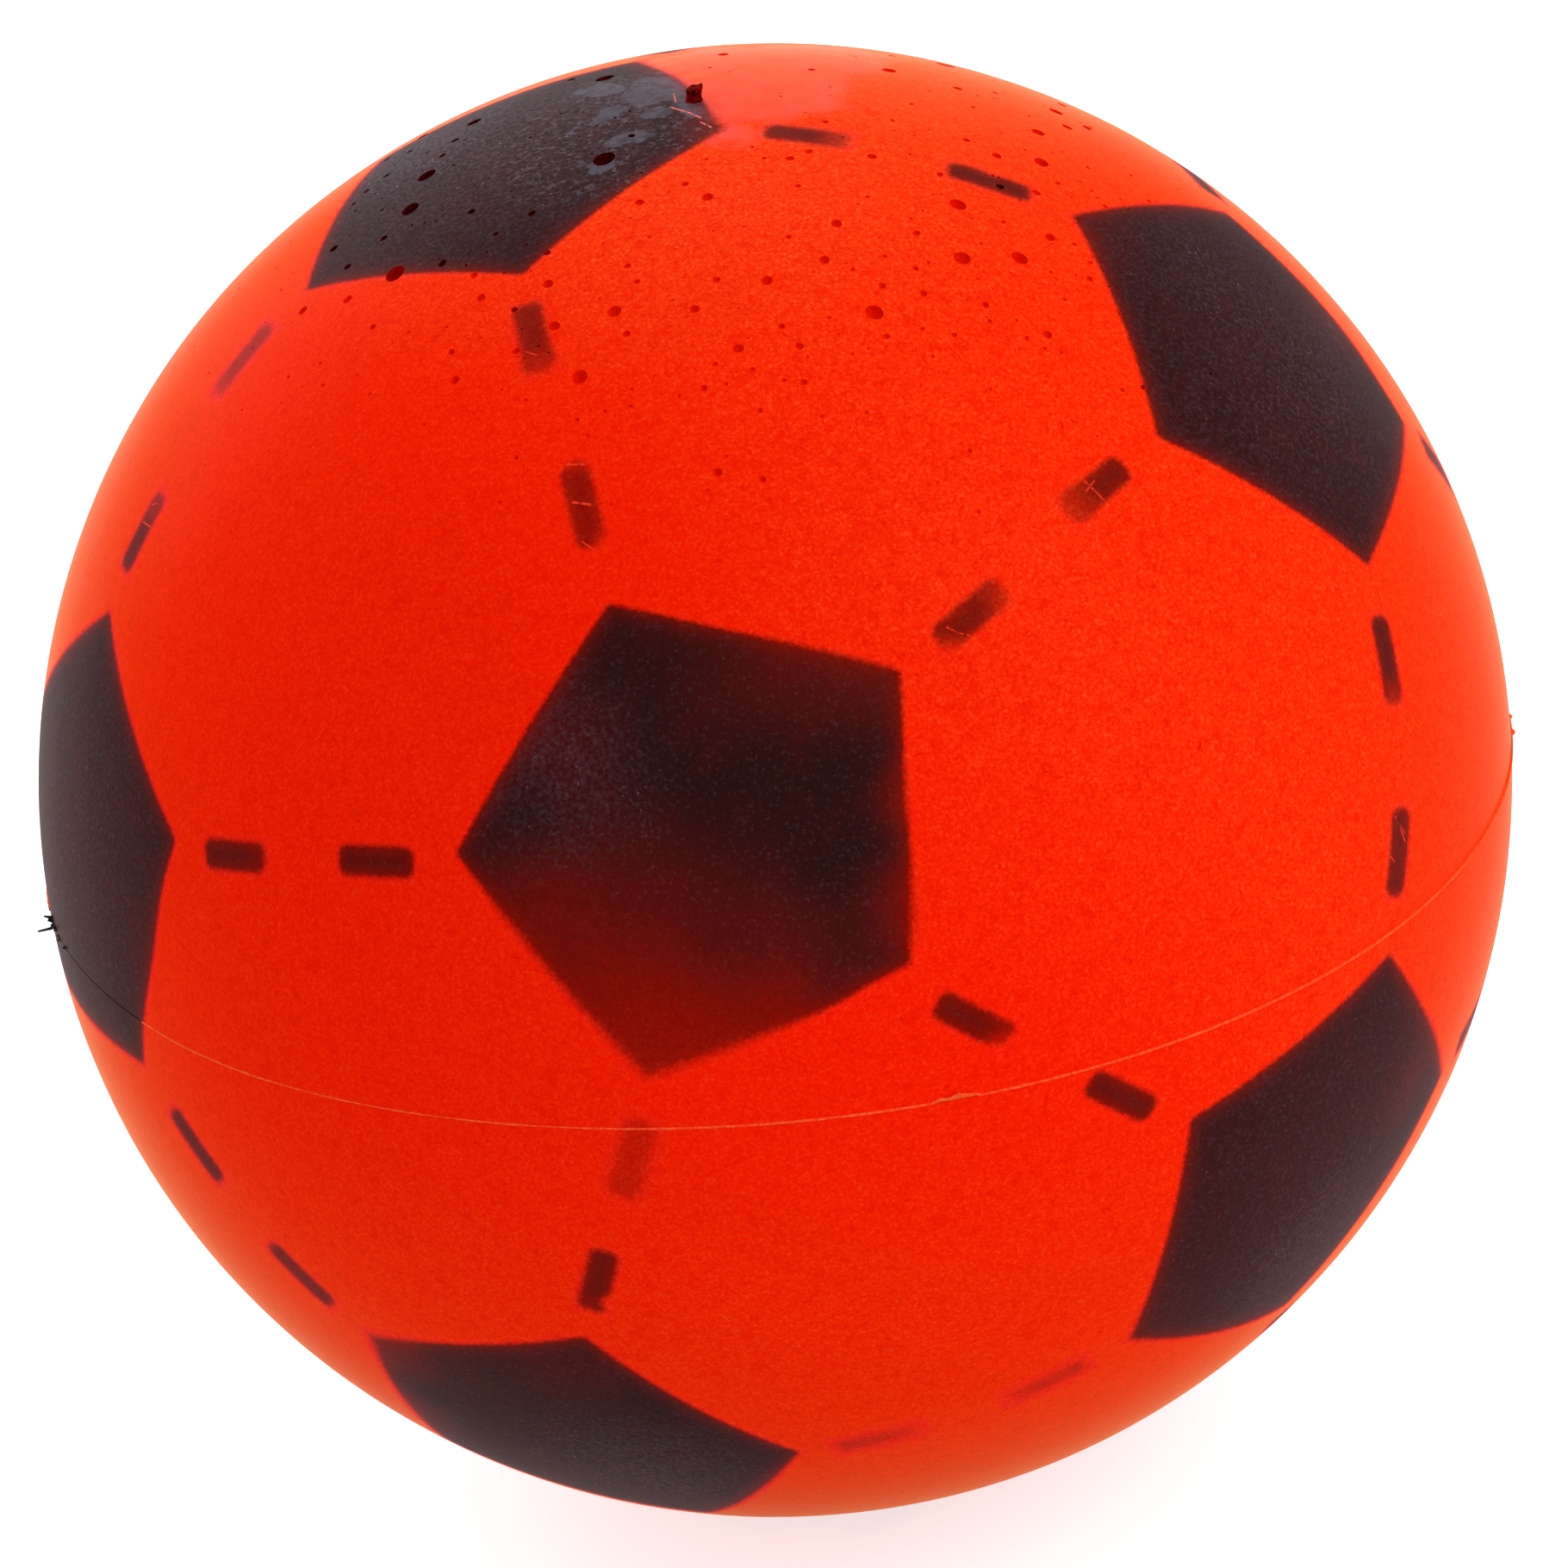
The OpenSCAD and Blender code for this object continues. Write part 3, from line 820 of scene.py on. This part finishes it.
# Bubble pits: their foam is painted darker as the shade inside them, darker still at the edge of the ink
# and darkest through it
shaded_burst_foam = torn_finish("shaded_burst_foam", (0.86, 0.009, 0.001), (0.95, 0.016, 0.002), 0.5 * MM)
shaded_burst_edge_foam = torn_finish("shaded_burst_edge_foam", (0.35, 0.003, 0.001), (0.6, 0.006, 0.002), 0.5 * MM)
shaded_burst_inked_foam = torn_finish("shaded_burst_inked_foam", (0.04, 0.001, 0.001), (0.12, 0.003, 0.002), 0.5 * MM)
flash_foam = torn_finish("flash_foam", (0.97, 0.05, 0.012), (1.0, 0.12, 0.035), 0.6 * MM, flash_sheen)
inked_flash_foam = torn_finish("inked_flash_foam", (0.02, 0.016, 0.018), (0.075, 0.06, 0.065), 0.6 * MM)
stub_foam = torn_finish("stub_foam", (0.03, 0.001, 0.001), (0.3, 0.005, 0.002), 0.7 * MM)
core_foam = open_cell_finish("core_foam")


# How the print wore. Each spot lies on the flat print, in millimetres: its place, its radius, then
# how much thinner the ink is there, how much more its edge blurs, and how far its edge moves out.
pentagon_wear = {
    0: [
        (8, -27, 20, 0.24, 0.9, 0), (20, -18, 15, 0.12, 0.4, 0), (-12, -22, 16, 0.12, 0.6, 0),
        (0, -12, 22, 0.08, 0, 0), (0, 26, 14, 0.06, 0.2, 0.5), (32, -3, 12, 0.04, 0.2, -1.2),
        (10, 30, 12, 0.05, 0.1, 0.6), (0, 0, 90, 0.006, 0, 0), (-21, 1, 12, 0.035, 0, 0),
        (-8, 18, 12, 0.024, 0, 0), (27, 7, 10, 0.12, 0.5, -0.2), (19, -12, 7, 0.05, 0, 0),
        (-2, -1, 12, -0.02, 0, 0), (20, -7, 14, 0.05, 0, 0), (13, -4, 9, 0.02, 0, 0),
        (20, 18, 8, 0.09, 0.3, -0.1),
    ],
    1: [(0, 0, 90, 0.018, 0.1, 1.0), (10, 28, 12, 0.02, 0.2, 0), (-12, -18, 14, 0.03, 0.2, 0.4)],
    2: [(0, 0, 60, 0.015, 0, 0), (-27, 2, 14, 0.04, 0.2, 1.2), (12, -28, 12, 0.04, 0.1, 0)],
    3: [(0, 0, 60, 0.012, 0, 0.2), (-8, 24, 12, 0.01, 0.2, 0.4), (8, 29, 8, 0.08, 0.6, -0.5)],
    4: [(0, 0, 60, 0.022, 0.1, 0.5), (22, -16, 14, 0.02, 0.1, 1.0)],
    5: [
        (10, 30, 14, 0.13, 0.6, -0.4), (0, 0, 60, 0.004, 0.1, -0.3), (13, 18, 13, 0.018, 0.1, 0),
        (-10, 24, 12, 0.06, 0.3, 0), (24, 3, 16, 0.03, 0.1, 0),
    ],
}
pentagon_bloom = {
    0: [(-19, -2, 18, 0.25)],
    1: [(-12, 10, 22, 0.25), (0, 0, 50, 0.1)],
    2: [(-8, 6, 20, 0.15), (0, 0, 50, 0.18), (-4, -16, 16, 0.12)],
    3: [(0, 0, 40, 0.45), (-10, 16, 16, 0.45), (-16, -12, 24, 0.6)],
    4: [(0, 0, 40, 0.18)],
    5: [(-2, -10, 24, 0.42)],
}
# The first three numbers of a dash are its wear all over
dash_wear = {
    (0, 0): [(0.1, 0, 0), (5.2, -1.6, 3.5, 0.35, 0.2, -0.6), (5, 0, 5, 0.08, 0.1, 0)],
    (0, 1): [(0.08, 0, 0)],
    (1, 0): [(0.15, 0, 0), (5, -1, 4.5, 0.3, 0.3, 0), (-5, -1.6, 3, 0.35, 0.2, 0)],
    (1, 1): [(0.12, 0, 0), (-5, 0, 6, 0.35, 0.3, 0.5)],
    (2, 0): [(0.24, 0.1, 0), (6.5, 0, 3, 0.2, 0.3, 1.0), (-5, -1.8, 2.5, 0.3, 0.2, 0)],
    (2, 1): [(0.2, 0.1, 0), (-5.5, 0, 4.5, 0.3, 0.4, 0.8)],
    (3, 0): [(0.07, 0, 0)],
    (3, 1): [(0.07, 0, 0), (-5, 0, 4, 0.08, 0.2, 0)],
    (4, 0): [(0.56, 0.7, 0.5)],
    (4, 1): [(0.1, 0.1, 0), (3.2, 2, 1.8, 0.7, 0.2, -0.5), (5, 0, 3, 0.1, 0.2, 0)],
    (5, 0): [(0.1, 0, 0.2)],
    (5, 1): [(0.05, 0, 0.1), (-5.5, 0, 4.5, 0.25, 0.2, 0.3)],
    (6, 0): [(0.58, 0.6, -0.2), (5, 0, 4, 0.2, 0.2, 0)],
    (6, 1): [(0.58, 0.6, -0.2), (-5, 0, 5, 0.2, 0.3, 0)],
    (9, 0): [(0.08, 0.1, 0), (0, -2.6, 2, 0.4, 0.1, -0.4)],
    (9, 1): [(0.1, 0.1, 0), (-5.5, 0, 5.5, 0.35, 0.4, 0)],
    (12, 0): [(0.36, 0.3, 0), (5.5, 0, 4, 0.2, 0.3, 0.3)],
    (12, 1): [(0.08, 0, 0), (-4, 0, 4.5, 0.2, 0.2, 0)],
    (15, 0): [(0.07, 0.1, 0)],
    (15, 1): [(0.12, 0.1, 0)],
}
# Scratches through a print, down to bare foam: start, end and width in millimetres
scratched_prints = {
    (1, 0): [((-3.4, 0.8), (-2.8, -0.6), 0.3), ((-2.8, -0.6), (-1.9, -1.7), 0.25)],
    (1, 1): [((-0.7, 1.6), (-0.4, -1.7), 0.35), ((-1.6, 0.6), (0.4, 0.9), 0.25)],
    (2, 0): [((0, -0.9), (1, 1.1), 0.45), ((-6, 0), (-4.4, 1.2), 0.25), ((5.5, -1.6), (6.3, 0.9), 0.3)],
    (2, 1): [((-3.4, 0), (-2.2, 1.3), 0.25)],
    (5, 0): [((1.4, -1.3), (4.6, 1.4), 0.3), ((2, -1.6), (3.4, 0), 0.2), ((-1.2, 0.8), (-0.5, 2), 0.25)],
    (12, 1): [((-1.4, 1.8), (-0.9, -1.6), 0.3), ((-4.2, -0.2), (-3.5, -1.4), 0.3)],
}
pole_scratches = [
    ((0.9, 23.2), (3.6, 25.6), 0.5), ((3.6, 25.6), (5.7, 27.1), 0.4), ((7, 27), (8.9, 28.3), 0.45),
    ((-3.9, 23.9), (-0.6, 24), 0.25),
]


def print_coordinates(points, place):
    """Where points on the ball lie on a flat print at a place, in millimetres."""
    own = points @ np.array(place)
    return own[:, :2] / own[:, 2:] * 100


def outside_print(flat, five_sided):
    """How far outside a print's outline places on it lie, in millimetres."""
    if five_sided:
        return (flat @ np.array((np.cos(side_turns), np.sin(side_turns)))).max(axis=1) - apothem
    return (np.abs(flat) - np.array((dash_l, dash_w)) / 2 / MM).max(axis=1)


def nearness(flat, x, y, radius):
    near = np.clip(1 - np.hypot(flat[:, 0] - x, flat[:, 1] - y) / radius, 0, 1)
    return near * near * (3 - 2 * near)


def worn_at(flat, wear, blur):
    """How much thinner, more blurred and further spread the ink is at places on a print."""
    worn = np.zeros((len(flat), 3))
    worn[:, 1] = blur
    for x, y, radius, *changes in wear:
        worn += nearness(flat, x, y, radius)[:, None] * np.array(changes)
    worn[:, 1] = np.clip(worn[:, 1], 0.2, 1.4)
    return worn


def ink_part(part, place, material, wear, bloom=(), five_sided=False):
    """Paints on a patch of skin what its ink's material reads."""
    blur = edge_blur if five_sided else dash_edge_blur
    flat = print_coordinates(points_of(part), place)
    dust = np.zeros(len(flat))
    for x, y, radius, grey in bloom:
        dust += nearness(flat, x, y, radius) * grey
    paint(part, "print_mm", np.column_stack((flat, np.zeros(len(flat)))))
    paint(part, "ink_wear", worn_at(flat, wear, blur))
    paint(part, "ink_bloom", dust)
    part.data.materials[0] = material
    part.data.materials.append(skin_foam)
    index = np.zeros(len(part.data.polygons), np.int32)
    part.data.polygons.foreach_get("material_index", index)
    middle = print_coordinates(face_middles(part), place)
    _, blurred, spread = worn_at(middle, wear, blur).T
    bare = outside_print(middle, five_sided) > 0.15 + blurred + np.maximum(spread, 0)
    index[bare & (index == 0)] = len(part.data.materials) - 1
    part.data.polygons.foreach_set("material_index", index)


def hand_in(piece, replaced):
    """Puts a finished piece in the place of its solid."""
    smooth(piece)
    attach(piece, "root")
    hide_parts(replaced)


def hand_in_print(parts, name):
    hand_in(joined(parts, name + "_piece"), name)


# The moulding

ball = moulded_ball()
ball.data.materials.append(skin_foam)
bubbles = bubble_cutter()
apply_modifier(
    ball, "BOOLEAN", operation="DIFFERENCE", solver="MANIFOLD", object=bubbles, material_mode="TRANSFER"
)
pockets = print_pockets()
slit = mould_slit(slit_t)
prints = cut(copied(ball, "prints"), pockets, "INTERSECT")
skin = cut(ball, pockets)
hollow = fine_ball("hollow", 6, core_r)
cut(skin, hollow)
cut(skin, slit)
cut(prints, slit)
discard(bubbles, pockets, slit, hollow)

halves = sorted(loose_parts(skin), key=lambda part: points_of(part)[:, 2].mean())
lower_skin, upper_skin = halves[0], halves[-1]
for piece, name in ((upper_skin, "upper_skin"), (lower_skin, "lower_skin")):
    piece.name = piece.data.name = name + "_piece"
    hand_in(piece, name)


# The print

pentagon_parts = {i: [] for i in range(12)}
dash_parts = {key: [] for key in dash_places}
for part in loose_parts(prints):
    middle = Vector(points_of(part).mean(axis=0)).normalized()
    nearest = max(range(12), key=lambda i: middle.dot(print_dirs[i]))
    if middle.dot(print_dirs[nearest]) > math.cos(math.radians(20)):
        pentagon_parts[nearest].append(part)
    else:
        dash_parts[max(dash_places, key=lambda key: middle.dot(dash_places[key].col[2]))].append(part)


def unseen_wear(rng, reach):
    """Wear in the same manner for a print that the photograph doesn't show."""
    spots = [(0, 0, 3 * reach, rng.uniform(0.02, 0.1), rng.uniform(0, 0.15), 0)]
    turn = rng.uniform(0, 2 * math.pi)
    worn = (math.cos(turn) * reach * 0.8, math.sin(turn) * reach * 0.8)
    return spots + [(*worn, reach * 0.7, rng.uniform(0.05, 0.3), rng.uniform(0.1, 0.5), 0)]


rng = random.Random(5)
# The bare foam in the scratches near the vent carries the same painted pale pink reflection as the film
# round it
scratched_pentagon_ink = print_finish(
    "scratched_pentagon_ink", pentagon_distance, pole_scratches, (1, 0.2, 0.16, 1)
)
for i, parts in pentagon_parts.items():
    wear = pentagon_wear[i] if i in pentagon_wear else unseen_wear(rng, 26)
    bloom = pentagon_bloom.get(i, [(rng.uniform(-10, 10), rng.uniform(-10, 10), 22, 0.25)])
    material = scratched_pentagon_ink if i == 3 else pentagon_ink
    for part in parts:
        ink_part(part, pentagon_places[i], material, wear, bloom, True)
    hand_in_print(parts, "pentagon_%02d" % (i + 1))

scratched_inks = {
    key: print_finish("scratched_dash_ink_%d" % n, dash_distance, scratches)
    for n, (key, scratches) in enumerate(scratched_prints.items())
}
for seam in range(len(seams)):
    for end in (0, 1):
        key = (seam, end)
        if key in dash_wear:
            all_over, *spots = dash_wear[key]
            wear = [(0, 0, 40, *all_over), *spots]
        else:
            wear = unseen_wear(rng, 5.6)
        material = scratched_inks.get(key, dash_ink)
        if key not in dash_wear and rng.random() < 0.3:
            material = rng.choice(list(scratched_inks.values()))
        for part in dash_parts[key]:
            ink_part(part, dash_places[key], material, wear)
    hand_in_print(dash_parts[seam, 0] + dash_parts[seam, 1], "dash_pair_%02d" % (seam + 1))


# The flash, the stub and the core

def in_print(points):
    """Which points lie below well-covered ink."""
    inside = np.zeros(len(points), bool)
    covered = [(place, True) for place in pentagon_places]
    covered += [
        (place, False) for key, place in dash_places.items()
        if dash_wear.get(key, [(0, 0, 0)])[0][0] <= faint_ink
    ]
    for place, five_sided in covered:
        flat = print_coordinates(points, place)
        inside |= (outside_print(flat, five_sided) < 0) & (points @ np.array(place)[:, 2] > 0)
    return inside


def mould_flash():
    """The foam that crept between the mould halves: a web through the skin with a fine ragged crest."""
    bpy.ops.mesh.primitive_circle_add(vertices=1800, radius=core_r + 0.05 * MM)
    ring = added("parting_flash_piece")
    edit_all()
    before = core_r + 0.05 * MM
    for reach in (core_r + 1 * MM, ball_r - 0.3 * MM, ball_r + 0.09 * MM):
        bpy.ops.mesh.extrude_region_move()
        bpy.ops.transform.resize(value=(reach / before, reach / before, 1))
        before = reach
    bpy.ops.object.mode_set(mode="OBJECT")
    points = points_of(ring)
    under_ink = in_print(points)
    for point, inked in zip(points, under_ink):
        lon = math.atan2(point[1], point[0])
        r = math.hypot(point[0], point[1])
        spot = Vector((math.cos(lon), math.sin(lon), 0)) * 100
        lift = 0
        if r > ball_r:
            r += noise.noise(spot * 1.3) * 0.05 * MM + noise.noise(spot * 0.12) * 0.06 * MM
            # It wore low at the left, and tore away below the skin under the ink
            r -= 0.17 * MM * math.exp(-((math.degrees(lon) + 122) / 30) ** 4) + 0.4 * MM * inked
            r += 0.1 * MM * math.exp(-((math.degrees(lon) + 38) / 32) ** 4)
            for tag_lon, *tag in flash_tags:
                tag_l, tag_h, tag_lift = (size * MM for size in tag)
                away = abs((math.degrees(lon) - tag_lon + 180) % 360 - 180) * math.radians(ball_r)
                share = max(0, 1 - away / (tag_l / 2)) ** 0.5
                r += tag_h * share * (0.3 + 1.6 * abs(noise.noise(spot * 2.3)))
                lift += tag_h * share * 0.7 * noise.noise(spot * 0.8 + Vector((5, 0, 0)))
                lift += tag_lift * share * (0.7 + 0.8 * abs(noise.noise(spot * 1.5)))
            lift += noise.noise(spot * 0.9) * 0.05 * MM
        point[0] = r * math.cos(lon)
        point[1] = r * math.sin(lon)
        point[2] = line_height(lon) + lift
    place_points(ring, points)
    return apply_modifier(ring, "SOLIDIFY", thickness=flash_t, offset=0)


# Torn tags on the flash: longitude, length, how far they stand out and lean up, in mm
flash_tags = [
    (-170, 2, 2.2, 0.6), (-168.6, 3, 2.2, -0.2),
    (-166.6, 1.6, 1.3, -0.5), (-164, 1.2, 0.7, 0.2),
    (-80, 6, 0.45, 0.9),
    (-6.5, 1.6, 0.5, 0), (-3.8, 1.2, 0.35, 0), (38, 2.5, 0.4, 0.3),
    (97, 3, 0.5, -0.3), (141, 1.5, 0.4, 0),
]
flash = mould_flash()
flash.data.materials.append(flash_foam)
flash.data.materials.append(inked_flash_foam)
inked = in_print(face_middles(flash))
flash.data.polygons.foreach_set("material_index", inked.astype(np.int32))
hand_in(flash, "parting_flash")


def torn_stub():
    """Foam that rose in the vent and tore off at a slant."""
    bpy.ops.mesh.primitive_circle_add(vertices=40, radius=1.3 * MM, fill_type="NGON")
    stub = added("vent_stub_piece")
    edit_all()
    levels = [(0.3, 0.85), (0.25, 0.95), (0.25, 0.98), (0.25, 0.97), (0.25, 0.98), (0.25, 1), (0.25, 1)]
    levels += [(0.2, 0.98), (0.12, 0.94), (0.02, 0.8), (-0.05, 0.7), (-0.05, 0.5)]
    for rise, share in levels:
        bpy.ops.mesh.extrude_region_move(TRANSFORM_OT_translate={"value": (0, 0, rise * MM)})
        bpy.ops.transform.resize(value=(share, share, 1))
    facing_out()
    points = points_of(stub)
    for point in points:
        up = max(0, point[2]) / (2.6 * MM)
        spot = Vector(point) / MM
        point[2] += 0.38 * min(up, 1) ** 2 * point[0]
        point[0] += 0.12 * max(0, point[2])
        for axis in range(3):
            point[axis] += noise.noise(spot * 0.9 + Vector((axis * 7, 0, 0))) * 0.3 * MM * min(up * 1.5, 1)
        # One corner of the tear stands up in a spike
        spike = max(0, 1 - math.hypot(spot.x - 0.95, spot.y + 0.2) / 0.5)
        point[2] += 0.5 * MM * spike * up ** 2
    turn = np.array(on_ball(stub_out, east(stub_out)))
    points[:, 2] += ball_r - 0.3 * MM
    place_points(stub, points @ turn.T)
    return stub


stub_out = at(stub_lon, 90 - math.degrees(stub_off / ball_r))
stub = torn_stub()
stub.data.materials.append(stub_foam)
hand_in(stub, "vent_stub")


def open_cell_core():
    """The soft middle, pitted by its open cells."""
    core = fine_ball("foam_core_piece", 6, core_r - 0.05 * MM)
    cells = bpy.data.textures.new("cells", "VORONOI")
    cells.noise_scale = 3 * MM
    return apply_modifier(
        core, "DISPLACE", texture=cells, texture_coords="LOCAL", mid_level=1, strength=0.5 * MM
    )


core = open_cell_core()
core.data.materials.append(core_foam)
hand_in(core, "foam_core")


# Floor, light and camera

def seen_directly(tree):
    """1 for rays from the camera and for what gloss and glass show of it."""
    path = node(tree, "LightPath").outputs
    seen = maths(tree, "MAXIMUM", path["Is Camera Ray"], path["Is Glossy Ray"])
    return maths(tree, "MAXIMUM", seen, path["Is Transmission Ray"])


def pale_floor():
    bpy.ops.mesh.primitive_circle_add(vertices=96, radius=4, fill_type="NGON", location=(0, 0, -ball_r))
    floor = added("pale_floor")
    material = bpy.data.materials.new("pale_floor")
    material.use_nodes = True
    tree = material.node_tree
    tree.nodes.clear()
    glow = {"Strength": times(tree, seen_directly(tree), floor_glow)}
    lift = node(tree, "Emission", glow).outputs[0]
    matt = node(tree, "BsdfDiffuse", {"Color": (0.85, 0.85, 0.85, 1)}).outputs[0]
    both = node(tree, "AddShader", {0: lift, 1: matt}).outputs[0]
    node(tree, "OutputMaterial", {"Surface": both})
    floor.data.materials.append(material)


def soft_world():
    world = bpy.data.worlds.new("soft_studio")
    bpy.context.scene.world = world
    world.use_nodes = True
    tree = world.node_tree
    tree.nodes.clear()
    strength = maths(tree, "MULTIPLY_ADD", seen_directly(tree), 1 - ambient, ambient)
    background = node(tree, "Background", {"Strength": strength}).outputs[0]
    node(tree, "OutputWorld", {"Surface": background})


def soft_lamp(name, place, size, level):
    """A square lamp that faces the ball and adds a level of light to a white surface at its middle."""
    lamp = bpy.data.lights.new(name, "AREA")
    lamp.size = size
    lamp.energy = level * math.pi ** 2 * Vector(place).length_squared
    holder = bpy.data.objects.new(name, lamp)
    holder.location = place
    holder.rotation_euler = Vector(place).to_track_quat("Z", "Y").to_euler()
    holder.visible_camera = False
    bpy.context.scene.collection.objects.link(holder)


ambient = 0.84
floor_glow = 0.65
pale_floor()
soft_world()
for name, place, size, level in (
    ("key", (1.3, -0.9, 1.3), 1.0, 0.23), ("side", (1.75, -0.95, 0.35), 0.8, 0.13),
    ("overhead", (0.1, 1.0, 1.6), 0.7, 0.16), ("back", (0.1, 1.6, 0.5), 1.2, 0.12),
    ("left_back", (-1.2, 1.35, 0.8), 1.2, 0.38),
):
    soft_lamp(name, place, size, level)

camera = bpy.data.objects.new("camera", bpy.data.cameras.new("camera"))
bpy.context.scene.collection.objects.link(camera)
camera.rotation_mode = "ZYX"
camera.rotation_euler = (math.pi / 2 - view_elevation, 0, view_roll)
camera.location = (0, -math.cos(view_elevation) * view_distance, math.sin(view_elevation) * view_distance)
camera.data.sensor_width = 36
camera.data.lens = focal_px / photo_px * camera.data.sensor_width
camera.data.shift_x = (photo_px / 2 - ball_centre_px[0]) / photo_px
camera.data.shift_y = (ball_centre_px[1] - photo_px / 2) / photo_px
camera.data.clip_start = 0.05
bpy.context.scene.camera = camera
bpy.context.scene.view_settings.view_transform = "Standard"
